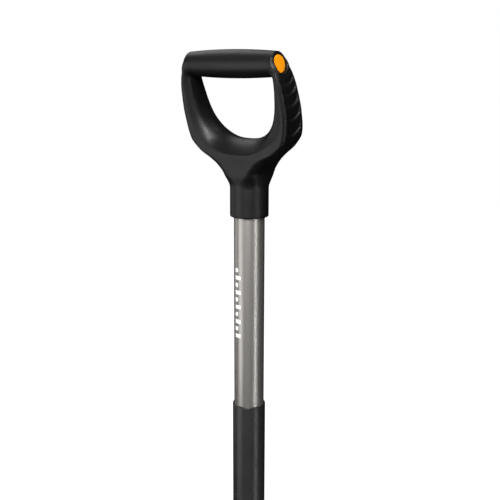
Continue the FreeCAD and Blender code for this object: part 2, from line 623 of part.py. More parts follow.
def make_head_plate():
    """Pressed plate: side flanges, and treads folded up along the rear edge."""
    plate = extruded(plate_outline(), UP * PLATE_THICKNESS)
    corners = [e for e in plate.Edges if abs(e.BoundBox.ZLength - PLATE_THICKNESS) < 1e-6
               and e.BoundBox.XMax < PLATE_FRONT - 1]
    plate = plate.makeFillet(PLATE_CORNER_RADIUS, corners)
    half = PLATE_WIDTH / 2
    start = PLATE_SHOULDER + PLATE_CORNER_RADIUS
    for side in (-1, 1):
        outline = [
            Vector(start, 0, -PLATE_THICKNESS),
            Vector(FLANGE_FRONT + FLANGE_SLANT, 0, -PLATE_THICKNESS),
            Vector(FLANGE_FRONT, 0, FLANGE_HEIGHT),
            Vector(start + FLANGE_SLANT, 0, FLANGE_HEIGHT),
        ]
        flange = extruded(outline, Vector(0, PLATE_THICKNESS, 0))
        flange.translate(Vector(0, half - PLATE_THICKNESS if side > 0 else -half, 0))
        plate = plate.fuse(flange)
    inner = SOCKET_RADIUS + 2 * BRACE_THICKNESS
    outer = PLATE_REAR_WIDTH / 2 - PLATE_CORNER_RADIUS
    for low in (inner, -outer):
        tread = Part.makeBox(PLATE_THICKNESS, outer - inner, TREAD_DEPTH)
        tread.translate(Vector(PLATE_REAR, low, -PLATE_THICKNESS))
        plate = plate.fuse(tread)
    for hole in blade_bolt_holes(BLADE_BOLT_RADIUS + BOLT_CLEARANCE):
        plate = plate.cut(hole)
    save("head_plate", placed(plate.removeSplitter(), ON_HEAD))


def make_tooth_blade():
    """Replaceable blade under the plate's front edge, with V-notched teeth and a ground bevel."""
    rear = PLATE_FRONT - BLADE_LAP
    front = PLATE_FRONT + BLADE_REACH
    half = PLATE_WIDTH / 2
    pitch = PLATE_WIDTH / TOOTH_COUNT
    edge = [(rear, -half), (front, -half)]
    for i in range(TOOTH_COUNT - 1):
        notch = -half + (i + 1) * pitch
        slope = (pitch - TOOTH_LAND) / 2
        edge += [(front, notch - slope), (front - TOOTH_DEPTH, notch), (front, notch + slope)]
    edge += [(front, half), (rear, half)]
    level = -PLATE_THICKNESS - BLADE_THICKNESS
    blade = extruded([Vector(u, v, level) for u, v in edge], UP * BLADE_THICKNESS)
    bevel = [
        Vector(front - BEVEL_RUN, -half - 1, level + BLADE_THICKNESS),
        Vector(front, -half - 1, level + EDGE_THICKNESS),
        Vector(front + 1, -half - 1, level + EDGE_THICKNESS),
        Vector(front + 1, -half - 1, level + BLADE_THICKNESS + 1),
        Vector(front - BEVEL_RUN, -half - 1, level + BLADE_THICKNESS + 1),
    ]
    blade = blade.cut(extruded(bevel, Vector(0, PLATE_WIDTH + 2, 0)))
    for hole in blade_bolt_holes(BLADE_BOLT_RADIUS + BOLT_CLEARANCE):
        blade = blade.cut(hole)
    save("tooth_blade", placed(blade, ON_HEAD))


def make_blade_fasteners():
    """Carriage bolts with their heads on the upper face, washers and lock nuts underneath."""
    bolts, washers, nuts = [], [], []
    under = PLATE_THICKNESS + BLADE_THICKNESS
    down = FreeCAD.Rotation(UP, -UP)
    washer_hole = BLADE_BOLT_RADIUS + BOLT_CLEARANCE
    for place in blade_bolt_places():
        head = dome(BLADE_BOLT_HEAD_RADIUS, BLADE_BOLT_HEAD_HEIGHT)
        head.translate(place)
        shank = cylinder(BLADE_BOLT_RADIUS, BLADE_BOLT_LENGTH, place, -UP)
        bolts.append(placed(head.fuse(shank), ON_HEAD))
        ring = washer(BLADE_WASHER_RADIUS, washer_hole, BLADE_WASHER_THICKNESS)
        washer_place = FreeCAD.Placement(place - UP * under, down)
        washers.append(placed(placed(ring, washer_place), ON_HEAD))
        nut = lock_nut(BLADE_BOLT_RADIUS, BLADE_NUT_FLATS, BLADE_NUT_HEIGHT)
        nut_place = FreeCAD.Placement(place - UP * (under + BLADE_WASHER_THICKNESS), down)
        nuts.append(placed(placed(nut, nut_place), ON_HEAD))
    save("blade_bolts", bolts)
    save("blade_washers", washers)
    save("blade_nuts", nuts)


def make_braces():
    """Upright gussets that touch the socket's sides and stand on the plate."""
    rise = math.tan(SLOPE)
    rear_foot = PLATE_REAR + PLATE_THICKNESS + BRACE_SETBACK
    rear_top = PLATE_REAR - BRACE_OVERHANG
    axis_height = -rear_top * rise
    outline = [
        Vector(rear_foot, 0, 0),
        Vector(BRACE_FRONT, 0, 0),
        Vector(BRACE_FRONT, 0, BRACE_TOE),
        Vector(rear_top, 0, axis_height + BRACE_TOP_RISE),
        Vector(rear_top, 0, axis_height - BRACE_TOP_DROP),
    ]
    for side, name in ((1, "brace_right"), (-1, "brace_left")):
        brace = extruded(outline, Vector(0, BRACE_THICKNESS, 0))
        base = SOCKET_RADIUS if side > 0 else -SOCKET_RADIUS - BRACE_THICKNESS
        brace.translate(Vector(0, base, 0))
        save(name, placed(brace, ON_HEAD))


def make_fulcrum():
    """Bent flat bar under the plate, the heel that the shovel pries on."""
    top = -PLATE_THICKNESS
    low = top - FULCRUM_HEIGHT
    thick = FULCRUM_THICKNESS
    lean = FULCRUM_LEAN
    outer = [
        Vector(FULCRUM_REAR, 0, top),
        Vector(FULCRUM_REAR, 0, top - thick),
        Vector(FULCRUM_REAR + FULCRUM_FOOT, 0, top - thick),
        Vector(FULCRUM_REAR + FULCRUM_FOOT + lean, 0, low),
        Vector(FULCRUM_FRONT - FULCRUM_FOOT - lean, 0, low),
        Vector(FULCRUM_FRONT - FULCRUM_FOOT, 0, top - thick),
        Vector(FULCRUM_FRONT, 0, top - thick),
        Vector(FULCRUM_FRONT, 0, top),
    ]
    slant = math.atan2(FULCRUM_HEIGHT - thick, lean)
    shift = thick / math.sin(slant) - thick / math.tan(slant)
    inner_rear = FULCRUM_REAR + FULCRUM_FOOT + shift + thick / math.tan(slant)
    inner_front = FULCRUM_FRONT - FULCRUM_FOOT - shift - thick / math.tan(slant)
    run = (FULCRUM_HEIGHT - thick) / math.tan(slant)
    inner = [
        Vector(inner_rear, 0, top),
        Vector(inner_front, 0, top),
        Vector(inner_front - run, 0, low + thick),
        Vector(inner_rear + run, 0, low + thick),
    ]
    width = Vector(0, FULCRUM_WIDTH, 0)
    bar = extruded(outer, width).cut(extruded(inner, width))
    bar.translate(Vector(0, -FULCRUM_WIDTH / 2, 0))
    bends = [e for e in bar.Edges if abs(e.BoundBox.YLength - FULCRUM_WIDTH) < 1e-6
             and e.BoundBox.ZMax < low + 0.5]
    bar = bar.makeFillet(FULCRUM_BEND_RADIUS, bends)
    save("fulcrum", placed(bar, ON_HEAD))


def make_fulcrum_welds():
    """Fillet welds along the fulcrum's two feet."""
    top = -PLATE_THICKNESS
    width = Vector(0, FULCRUM_WIDTH - 2 * WELD_SETBACK, 0)
    welds = []
    for u, away in ((FULCRUM_REAR, -1), (FULCRUM_FRONT, 1)):
        outline = [
            Vector(u, 0, top),
            Vector(u + away * WELD_LEG, 0, top),
            Vector(u, 0, top - WELD_LEG),
        ]
        bead = extruded(outline, width)
        bead.translate(Vector(0, -width.y / 2, 0))
        welds.append(placed(bead, ON_HEAD))
    save("fulcrum_welds", welds)


make_grip()
make_plugs()
make_grip_screw()
make_upper_shaft()
make_lower_shaft()
make_rivets()
make_socket()
make_socket_fasteners()
make_head_plate()
make_tooth_blade()
make_blade_fasteners()
make_braces()
make_fulcrum()
make_fulcrum_welds()
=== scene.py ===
import math

import bpy
import numpy as np
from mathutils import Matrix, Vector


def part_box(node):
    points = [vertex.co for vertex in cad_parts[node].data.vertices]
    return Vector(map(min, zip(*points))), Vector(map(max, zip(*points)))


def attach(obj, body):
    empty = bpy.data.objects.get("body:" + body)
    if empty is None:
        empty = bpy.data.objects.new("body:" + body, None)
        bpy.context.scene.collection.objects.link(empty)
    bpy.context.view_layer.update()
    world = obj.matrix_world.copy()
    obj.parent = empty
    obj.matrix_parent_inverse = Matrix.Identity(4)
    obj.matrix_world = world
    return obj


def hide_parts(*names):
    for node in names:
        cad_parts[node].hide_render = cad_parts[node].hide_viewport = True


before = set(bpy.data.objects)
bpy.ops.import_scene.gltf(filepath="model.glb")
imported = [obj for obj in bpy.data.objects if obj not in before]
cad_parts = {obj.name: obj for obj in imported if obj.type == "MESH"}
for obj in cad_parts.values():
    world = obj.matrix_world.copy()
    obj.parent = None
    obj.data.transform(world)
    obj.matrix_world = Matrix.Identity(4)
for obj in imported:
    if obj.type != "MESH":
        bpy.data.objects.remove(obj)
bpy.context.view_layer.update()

import openvdb
from mathutils import Matrix, Vector

# Roofing shovel: a moulded D-grip on a two-part tubular shaft, and a toothed tear-off head.
# Shapes are worked out in millimetres, as the CAD is, and become metres when a mesh is made.

MM = 0.001
BODY = "root"


def low(node):
    """Lowest corner of a carried node's box, in millimetres."""
    return np.array(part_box(node)[0]) / MM


def high(node):
    """Highest corner of a carried node's box, in millimetres."""
    return np.array(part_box(node)[1]) / MM


def half_size(node, axis):
    """Half of a carried node's size along an axis, in millimetres."""
    return (high(node)[axis] - low(node)[axis]) / 2


# --- Sizes that the frame gives -------------------------------------------------------------------
COLLAR_Z = low("d_grip")[2]
UPPER_RADIUS = half_size("upper_shaft", 0)
LOWER_RADIUS = half_size("lower_shaft", 0)
RIM_Z = high("lower_shaft")[2]
LOWER_END_Z = low("lower_shaft")[2]
FLOOR_Z = min(low(node)[2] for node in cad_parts)

# --- Tubes ----------------------------------------------------------------------------------------
UPPER_WALL = 1.6
LOWER_WALL = 1.55
UPPER_END_EDGE = 0.3
LOWER_END_EDGE = 0.6
TUBE_SEGMENTS = 160

# --- Grip: the same curved centre line as the CAD's, and its finer surface ------------------------
BEND_START = 35.0
BEND_LENGTH = 49.0
LEAN = math.radians(16.0)
BEND_RADIUS = BEND_LENGTH / LEAN
COLLAR_RADIUS = 20.0
COLLAR_EDGE = 1.2
BORE_RADIUS = UPPER_RADIUS + 0.05
BORE_DEPTH = 52.0
BORE_EDGE = 0.5
BAR_HEIGHT = 156.7
BAR_RADIUS = 13.8
BAR_BARREL = 1.8
BARREL_HALF_LENGTH = 50.0
BAR_FILLET = 4.0
BAR_END_INSET = 2.0
SADDLE_HEIGHT = 80.1
OPENING_HALF_WIDTH = 49.8
OPENING_ROUND_HEIGHT = 61.7
OPENING_ROUNDNESS = 0.385
OPENING_STEPS = 90
OPENING_STEP_BUNCHING = 1.8
SADDLE_CROWN = 10.3
ARM_CROWN = 2.6
CROWN_RUN = 50.0
CROWN_LIMIT = 1.15
CORNER_RADIUS = 22.0
CORNER_HEIGHT = 153.5
CORNER_X = 36.2
TOP_START = 152.0
TOP_DEPTH = 14.0
TOP_RISE = 15.95
PLUG_X = 54.7
PLUG_TILT = math.radians(8.0)
PLUG_RADIUS = 8.7
PLUG_GAP = 0.4
PLUG_SEAT_DEPTH = 2.4
PLUG_SEAT_EDGE = 0.5
PLUG_EDGE = 0.7
PLUG_DOME = 0.35
PLUG_DOME_RINGS = 8
PLUG_RING_STEP = 0.9
PLUG_STEM_RADIUS = 6.3
PLUG_STEM_LENGTH = 10.0
PLUG_BACK_GAP = 0.2
PLUG_BACK_CHAMFER = 0.3
PLUG_CENTRE_RADIUS = 0.3
PLUG_SEGMENTS = 64
PLUG_SHARP_ANGLE = 40
RIB_LEVELS = (148.0, 144.6, 137.1, 127.5, 116.2, 102.9, 87.2)
RIB_LEDGE = 1.0
RIB_FULL_PITCH = 9.0
RIB_ARC_RADIUS = 17.0
RIB_DEPTH = 2.4
RIB_SWELL = 1.2
RIB_HALF_SPAN = 11.0
RIB_FADE_INSIDE = 1.4
RIB_FADE_OUTSIDE = 1.2
SCREW_HEIGHT = 17.0
SCREW_SEAT_RADIUS = 5.0
SCREW_SEAT_DEPTH = 1.0
GATE_RADIUS = 1.7
GATE_PLACE = (0.0, -4.4, 80.6)      # x, depth and height of the moulding gate's scar
SMALL_EDGE = 0.3
BACK_INNER_EDGE = 6.5
EDGE_BLEND = 3.0                    # half of the depth over which front edges become back edges
GRID_HALF_WIDTH = 64.0
GRID_HALF_DEPTH = 24.0
GRID_HEIGHT = 171.0
GRID_CELL = 0.8
GRID_MARGIN = 3.37                  # in cells; the fraction keeps flat faces off the grid's planes
GRID_FAR = 4.0

# --- Mark printed on the upper tube: angles from the front towards +X, in degrees -----------------
MARK_BARS = 10
MARK_BOTTOM = -25.6
MARK_PITCH = 7.9
MARK_HEIGHT = 4.2
MARK_START = -25.0
MARK_SPAN = 28.0
MARK_SHORT_SHARE = 0.55
MARK_STEPS = 8
MARK_INNER_RADIUS = UPPER_RADIUS - 0.02
MARK_OUTER_RADIUS = UPPER_RADIUS + 0.05

# --- Carried CAD nodes, by finish -----------------------------------------------------------------
HEAD_NODES = ["socket", "head_plate", "brace_right", "brace_left", "fulcrum", "fulcrum_welds"]
STEEL_NODES = ["tooth_blade", "blade_bolts", "blade_washers", "blade_nuts", "socket_bolts",
               "socket_washers", "socket_nuts"]
ZINC_NODES = STEEL_NODES[1:] + ["grip_screw", "joint_rivets"]
HEAD_EDGE = 0.5
STEEL_EDGE = 0.25
EDGE_SEGMENTS = 3
EDGE_SHARP_ANGLE = 35

# Half width, half depth and corner radius of the grip's section, and the radius of the opening's
# front edge, each by height above the collar's lower edge.
WIDTHS = [(30, 20), (38, 21.2), (46, 22.1), (54, 26.3), (62, 34.4), (72, 47.8), (84, 58.0), (98, 61.6),
          (114, 63.0), (132, 62.2), (146, 60.0), (153.5, 58.2)]
DEPTHS = [(30, 20), (46, 22.3), (64, 22.4), (84, 18.7), (104, 16.3), (126, 15.0), (152, 14.0)]
CORNERS = [(30, 20), (37, 18.2), (45, 13.0), (54, 9.2), (62, 7.5), (72, 5.2), (84, 4.0), (138, 4.0),
           (160, 6.5)]
FRONT_INNER_EDGES = [(76, 0.9), (82, 2.0), (90, 6.0), (104, 6.6), (140, 6.0)]


def smooth_step(value, start, finish):
    """0 before start and 1 after finish, with an even S-curve between them."""
    share = np.clip((value - start) / (finish - start), 0, 1)
    return share * share * (3 - 2 * share)


def curve(at, points):
    """Smooth curve through the points, level outside them."""
    xs, ys = np.array(points, float).T
    gaps = np.diff(xs)
    rises = np.diff(ys) / gaps
    slopes = np.zeros(len(xs))
    for i in range(1, len(xs) - 1):
        if rises[i - 1] * rises[i] > 0:
            slopes[i] = 2 * rises[i - 1] * rises[i] / (rises[i - 1] + rises[i])
    at = np.clip(at, xs[0], xs[-1])
    i = np.clip(np.searchsorted(xs, at) - 1, 0, len(xs) - 2)
    u = (at - xs[i]) / gaps[i]
    start = (1 + 2 * u) * (1 - u) ** 2 * ys[i] + u * (1 - u) ** 2 * gaps[i] * slopes[i]
    finish = u * u * (3 - 2 * u) * ys[i + 1] + u * u * (u - 1) * gaps[i] * slopes[i + 1]
    return start + finish


def rounded_max(a, b, radius):
    """Field of what is in both a and b, with the edge between them rounded."""
    qa = a + radius
    qb = b + radius
    corner = np.hypot(np.maximum(qa, 0), np.maximum(qb, 0))
    return corner + np.minimum(np.maximum(qa, qb), 0) - radius


def rounded_min(a, b, radius):
    """Field of what is in a or b, with the corner between them filled."""
    return -rounded_max(-a, -b, radius)


def rib_relief(depth, height):
    """How far the arms' outer faces are sunk: shingled ribs, each with a smile-shaped ledge."""
    level = height - depth ** 2 / (2 * RIB_ARC_RADIUS)
    relief = np.zeros_like(level)
    for top, bottom in zip(RIB_LEVELS, RIB_LEVELS[1:]):
        pitch = top - bottom
        down = np.clip((top - level) / pitch, 0, 1)
        ledge = smooth_step(level, bottom, bottom + RIB_LEDGE)
        relief += RIB_DEPTH * min(1, pitch / RIB_FULL_PITCH) * ledge * down ** RIB_SWELL
    inside = RIB_HALF_SPAN - RIB_FADE_INSIDE
    outside = RIB_HALF_SPAN + RIB_FADE_OUTSIDE
    return relief * (1 - smooth_step(np.abs(depth), inside, outside))


def opening_field(x, height):
    """Distance to the hand opening's outline in the plane of the grip; it is below 0 inside."""
    steps = 1 - np.linspace(0, 1, OPENING_STEPS) ** OPENING_STEP_BUNCHING
    half = OPENING_HALF_WIDTH * (1 - steps ** 2) ** OPENING_ROUNDNESS
    line = SADDLE_HEIGHT + OPENING_ROUND_HEIGHT * (1 - steps)
    px = np.append(half, OPENING_HALF_WIDTH)
    pz = np.append(line, 2 * BAR_HEIGHT)
    ax = np.abs(x)[:, :, None]
    az = height[:, :, None]
    run_x = np.diff(px)
    run_z = np.diff(pz)
    along = ((ax - px[:-1]) * run_x + (az - pz[:-1]) * run_z) / (run_x ** 2 + run_z ** 2)
    along = np.clip(along, 0, 1)
    gap = np.hypot(ax - px[:-1] - along * run_x, az - pz[:-1] - along * run_z).min(axis=2)
    inside = np.abs(x) < np.interp(height, pz, px, left=0)
    return np.where(inside, -gap, gap)


def plug_coordinates(x, depth, height, side):
    """Distance out along a plug's axis from its face's plane, and distance from the axis."""
    out_x = side * x - PLUG_X
    rise = height - BAR_HEIGHT
    along = out_x * math.cos(PLUG_TILT) + rise * math.sin(PLUG_TILT)
    across = rise * math.cos(PLUG_TILT) - out_x * math.sin(PLUG_TILT)
    return along, np.hypot(depth, across)


def grip_field(x, depth, height):
    """Distance to the grip's surface, below 0 inside, before the grip is bent."""
    wide = curve(height, WIDTHS)
    spread = np.hypot(1, np.gradient(wide, height[0, 0, 1] - height[0, 0, 0], axis=2))
    deep = curve(height, DEPTHS)
    ax = np.abs(x)
    sides = (ax - wide + rib_relief(depth, height)) / spread
    corner = np.hypot(ax - CORNER_X, height - CORNER_HEIGHT) - CORNER_RADIUS
    above = np.where(ax > CORNER_X, corner, height - CORNER_HEIGHT - CORNER_RADIUS)
    sides = np.where(height > CORNER_HEIGHT, above, sides)
    faces = np.abs(depth) - deep
    crest = (np.hypot(depth / TOP_DEPTH, (height - TOP_START) / TOP_RISE) - 1) * TOP_DEPTH
    faces = np.where(height > TOP_START, crest, faces)
    field = rounded_max(sides, faces, curve(height, CORNERS))
    field = rounded_max(field, -height, COLLAR_EDGE)

    outline = opening_field(x[:, 0, :], height[:, 0, :])[:, None, :]
    fade = smooth_step(height, SADDLE_HEIGHT, SADDLE_HEIGHT + CROWN_RUN)
    crown = SADDLE_CROWN + (ARM_CROWN - SADDLE_CROWN) * fade
    share = np.clip(depth / deep, -CROWN_LIMIT, CROWN_LIMIT)
    opening = (outline - crown * share ** 2) / np.hypot(1, 2 * crown * share / deep)
    front_edge = curve(height, FRONT_INNER_EDGES)
    behind = smooth_step(depth, -EDGE_BLEND, EDGE_BLEND)
    field = rounded_max(field, -opening, front_edge + (BACK_INNER_EDGE - front_edge) * behind)

    barrel = BAR_RADIUS - BAR_BARREL * (x / BARREL_HALF_LENGTH) ** 2
    bar = np.maximum(np.hypot(depth, height - BAR_HEIGHT) - barrel, ax - PLUG_X + BAR_END_INSET)
    field = rounded_min(field, bar, BAR_FILLET)

    bore = np.maximum(np.hypot(x, depth) - BORE_RADIUS, height - BORE_DEPTH)
    field = rounded_max(field, -bore, BORE_EDGE)
    screw_seat = np.hypot(x, height - SCREW_HEIGHT) - SCREW_SEAT_RADIUS
    screw_seat = np.maximum(screw_seat, COLLAR_RADIUS - SCREW_SEAT_DEPTH - depth)
    field = rounded_max(field, -screw_seat, SMALL_EDGE)
    gate = np.hypot(np.hypot(x - GATE_PLACE[0], depth - GATE_PLACE[1]), height - GATE_PLACE[2])
    field = rounded_max(field, GATE_RADIUS - gate, SMALL_EDGE)
    for side in (-1, 1):
        along, radial = plug_coordinates(x, depth, height, side)
        seat = np.maximum(radial - PLUG_RADIUS - PLUG_GAP, -along - PLUG_SEAT_DEPTH)
        field = rounded_max(field, -seat, PLUG_SEAT_EDGE)
    return field


def bent(x, depth, height):
    """Points of the grip in the row frame, in metres."""
    lean = np.clip(height - BEND_START, 0, BEND_LENGTH) / BEND_RADIUS
    beyond = np.maximum(height - BEND_START - BEND_LENGTH, 0)
    y = -BEND_RADIUS * (1 - np.cos(lean)) - beyond * np.sin(lean) + depth * np.cos(lean)
    z = np.minimum(height, BEND_START) + BEND_RADIUS * np.sin(lean) + beyond * np.cos(lean)
    return np.stack([x, y, COLLAR_Z + z + depth * np.sin(lean)], axis=-1) * MM


# --- Mesh helpers ---------------------------------------------------------------------------------
def piece(name, points, faces, material, stands_for=()):
    """A smooth-shaded mesh piece from points in metres; it rides on the one body."""
    mesh = bpy.data.meshes.new(name)
    mesh.from_pydata([tuple(p) for p in np.asarray(points, float).tolist()], [], faces)
    mesh.validate()
    mesh.update()
    obj = bpy.data.objects.new(name, mesh)
    bpy.context.scene.collection.objects.link(obj)
    mesh.shade_smooth()
    mesh.materials.append(material)
    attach(obj, BODY)
    if stands_for:
        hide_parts(*stands_for)
    return obj


def crease(obj, degrees=30):
    """Keeps edges sharper than the angle crisp under smooth shading."""
    obj.data.set_sharp_from_angle(angle=math.radians(degrees))


def make_grip(material):
    """The grip's surface, meshed from its distance field and then bent."""
    cell = GRID_CELL
    margin = GRID_MARGIN * cell
    xs = np.arange(-GRID_HALF_WIDTH - margin, GRID_HALF_WIDTH + margin, cell)
    depths = np.arange(-GRID_HALF_DEPTH - margin, GRID_HALF_DEPTH + margin, cell)
    heights = np.arange(-margin, GRID_HEIGHT + margin, cell)
    x, depth, height = np.meshgrid(xs, depths, heights, indexing="ij")
    field = grip_field(x, depth, height).astype(np.float32)
    grid = openvdb.FloatGrid(GRID_FAR)
    grid.copyFromArray(field)
    points, triangles, quads = grid.convertToPolygons(0.0, 0.0)
    points = points * cell + np.array([xs[0], depths[0], heights[0]])
    faces = triangles[:, ::-1].tolist() + quads[:, ::-1].tolist()
    placed = bent(points[:, 0], points[:, 1], points[:, 2])
    return piece("d_grip_moulding", placed, faces, material, ["d_grip"])


def rings_mesh(rings):
    """All points of equal rings, and the faces between each ring and the next."""
    count = len(rings[0])
    faces = []
    for r in range(len(rings) - 1):
        for i in range(count):
            j = (i + 1) % count
            a = r * count
            b = a + count
            faces.append((a + i, a + j, b + j, b + i))
    return np.concatenate(rings), faces


def turned(profile, segments, place=Matrix.Identity(4), closed=False):
    """Points and faces of a profile of (radius, height) turned about the local z axis.

    A closed profile makes a ring; an open one gets a point at each end, on the axis."""
    angles = np.linspace(0, 2 * math.pi, segments, endpoint=False)
    circle = np.stack([np.cos(angles), np.sin(angles)], -1)
    rings = [np.column_stack([r * circle, np.full(segments, z)]) for r, z in profile]
    points, faces = rings_mesh(rings + rings[:1] if closed else rings)
    if closed:
        count = segments * len(profile)
        points = points[:count]
        faces = [tuple(v % count for v in face) for face in faces]
    else:
        points = np.concatenate([points, [[0, 0, profile[0][1]], [0, 0, profile[-1][1]]]])
        last = segments * (len(profile) - 1)
        for i in range(segments):
            j = (i + 1) % segments
            faces.append((len(points) - 2, j, i))
            faces.append((len(points) - 1, last + i, last + j))
    turn = np.array(place)
    return (points @ turn[:3, :3].T + turn[:3, 3]) * MM, faces


def rounded_corner(radius, height, size, start, steps=5):
    """Quarter turn of a profile about (radius, height), from an angle in degrees, anticlockwise."""
    angles = [math.radians(start + 90 * i / steps) for i in range(steps + 1)]
    return [(radius + size * math.cos(a), height + size * math.sin(a)) for a in angles]


def tube_profile(outer, wall, bottom, top, edge):
    """Closed half section of a tube with eased ends."""
    inner = outer - wall
    profile = rounded_corner(inner + edge, bottom + edge, edge, 180)
    profile += rounded_corner(outer - edge, bottom + edge, edge, 270)
    profile += rounded_corner(outer - edge, top - edge, edge, 0)
    profile += rounded_corner(inner + edge, top - edge, edge, 90)
    return profile


def make_tubes(grey, black):
    """The bare grey tube, and the black tube that it slides into."""
    top = high("upper_shaft")[2]
    bottom = low("upper_shaft")[2]
    profile = tube_profile(UPPER_RADIUS, UPPER_WALL, bottom, top, UPPER_END_EDGE)
    points, faces = turned(profile, TUBE_SEGMENTS, closed=True)
    crease(piece("upper_tube", points, faces, grey, ["upper_shaft"]))
    profile = tube_profile(LOWER_RADIUS, LOWER_WALL, LOWER_END_Z, RIM_Z, LOWER_END_EDGE)
    points, faces = turned(profile, TUBE_SEGMENTS, closed=True)
    crease(piece("lower_tube", points, faces, black, ["lower_shaft"]))


def plug_profile():
    """Half section of a plug: a stem, a chamfered back, an eased rim and a slightly domed face."""
    back = PLUG_BACK_GAP - PLUG_SEAT_DEPTH
    profile = [(PLUG_STEM_RADIUS, -PLUG_SEAT_DEPTH - PLUG_STEM_LENGTH), (PLUG_STEM_RADIUS, back)]
    profile += [(PLUG_RADIUS - PLUG_BACK_CHAMFER, back), (PLUG_RADIUS, back + PLUG_BACK_CHAMFER)]
    profile += rounded_corner(PLUG_RADIUS - PLUG_EDGE, -PLUG_EDGE, PLUG_EDGE, 0)
    for i in range(1, PLUG_DOME_RINGS + 1):
        radius = PLUG_RADIUS - PLUG_EDGE - i * PLUG_RING_STEP
        profile.append((radius, PLUG_DOME * (1 - (radius / PLUG_RADIUS) ** 2)))
    return profile + [(PLUG_CENTRE_RADIUS, PLUG_DOME)]


def make_plugs(material):
    """Caps pressed into the ends of the hand bar."""
    lean = Matrix.Rotation(LEAN, 4, "X")
    base = bent(np.array([0.0]), np.array([0.0]), np.array([BAR_HEIGHT]))[0] / MM
    for side, name in ((1, "right"), (-1, "left")):
        turn = Matrix.Rotation(side * (math.pi / 2 - PLUG_TILT), 4, "Y")
        out = Matrix.Translation((side * PLUG_X, 0, 0))
        place = Matrix.Translation(Vector(base)) @ lean @ out @ turn
        points, faces = turned(plug_profile(), PLUG_SEGMENTS, place)
        plug = piece("plug_" + name, points, faces, material, ["grip_plug_" + name])
        crease(plug, PLUG_SHARP_ANGLE)


def make_mark(material):
    """A plain printed row of bars along the tube, long and short in turn."""
    points = []
    faces = []
    for i in range(MARK_BARS):
        span = MARK_SPAN if i % 2 == 0 else MARK_SPAN * MARK_SHORT_SHARE
        bottom = MARK_BOTTOM + i * MARK_PITCH
        for radius in (MARK_INNER_RADIUS, MARK_OUTER_RADIUS):
            for z in (bottom, bottom + MARK_HEIGHT):
                for j in range(MARK_STEPS + 1):
                    a = math.radians(MARK_START + span * j / MARK_STEPS)
                    points.append((radius * math.sin(a) * MM, -radius * math.cos(a) * MM, z * MM))
        row = MARK_STEPS + 1
        base = i * 4 * row
        inner_low, inner_top, outer_low, outer_top = (base + k * row for k in range(4))
        for j in range(MARK_STEPS):
            faces.append((outer_low + j, outer_low + j + 1, outer_top + j + 1, outer_top + j))
            faces.append((inner_low + j, inner_top + j, inner_top + j + 1, inner_low + j + 1))
            faces.append((outer_low + j, inner_low + j, inner_low + j + 1, outer_low + j + 1))
            faces.append((outer_top + j, outer_top + j + 1, inner_top + j + 1, inner_top + j))
        faces.append((inner_low, outer_low, outer_top, inner_top))
        last = MARK_STEPS
        faces.append((inner_low + last, inner_top + last, outer_top + last, outer_low + last))
    crease(piece("tube_mark", points, faces, material))


# --- Materials ------------------------------------------------------------------------------------
class Finish:
    """A material with one shader, and the nodes that give it its detail."""

    def __init__(self, name, colour, roughness, metallic=0.0, specular=0.5):
        """Starts with one colour and roughness; the methods below add variation."""
        self.material = bpy.data.materials.new(name)
        self.material.use_nodes = True
        self.nodes = self.material.node_tree.nodes
        self.links = self.material.node_tree.links
        self.shader = self.nodes["Principled BSDF"]
        self.shader.inputs["Base Color"].default_value = (*colour, 1)
        self.shader.inputs["Roughness"].default_value = roughness
        self.shader.inputs["Metallic"].default_value = metallic
        self.shader.inputs["Specular IOR Level"].default_value = specular
        self.place = self.nodes.new("ShaderNodeTexCoord").outputs["Object"]
        self.normal = None

    def noise(self, scale, detail=3.0, stretch=(1, 1, 1)):
        """Noise in the object's own space; a small stretch value draws it out along that axis."""
        mapping = self.nodes.new("ShaderNodeMapping")
        mapping.inputs["Scale"].default_value = stretch
        self.links.new(self.place, mapping.inputs["Vector"])
        texture = self.nodes.new("ShaderNodeTexNoise")
        texture.inputs["Scale"].default_value = scale
        texture.inputs["Detail"].default_value = detail
        self.links.new(mapping.outputs["Vector"], texture.inputs["Vector"])
        return texture.outputs["Fac"]

    def cells(self, scale):
        """Distance to the nearest of scattered points, which gives crystal-like cells."""
        texture = self.nodes.new("ShaderNodeTexVoronoi")
        texture.inputs["Scale"].default_value = scale
        self.links.new(self.place, texture.inputs["Vector"])
        return texture.outputs["Distance"]

    def ramp(self, value, start, finish, dark, light):
        """A colour that goes from dark at start to light at finish."""
        ramp = self.nodes.new("ShaderNodeValToRGB")
        ramp.color_ramp.elements[0].position = start
        ramp.color_ramp.elements[1].position = finish
        ramp.color_ramp.elements[0].color = (*dark, 1)
        ramp.color_ramp.elements[1].color = (*light, 1)
        self.links.new(value, ramp.inputs["Fac"])
        return ramp.outputs["Color"]

    def vary_colour(self, value, dark, light, start=0.35, finish=0.65):
        """Lets a value carry the colour between two shades."""
        colours = self.ramp(value, start, finish, dark, light)
        self.links.new(colours, self.shader.inputs["Base Color"])

    def vary_roughness(self, value, smooth, rough, start=0.35, finish=0.65):
        """Lets a value carry the roughness between two levels."""
        levels = self.ramp(value, start, finish, (smooth,) * 3, (rough,) * 3)
        self.links.new(levels, self.shader.inputs["Roughness"])

    def bump(self, value, strength, distance):
        """Adds a relief of the given depth, in metres, to those already there."""
        node = self.nodes.new("ShaderNodeBump")
        node.inputs["Strength"].default_value = strength
        node.inputs["Distance"].default_value = distance
        self.links.new(value, node.inputs["Height"])
        if self.normal:
            self.links.new(self.normal, node.inputs["Normal"])
        self.normal = node.outputs["Normal"]
        self.links.new(self.normal, self.shader.inputs["Normal"])


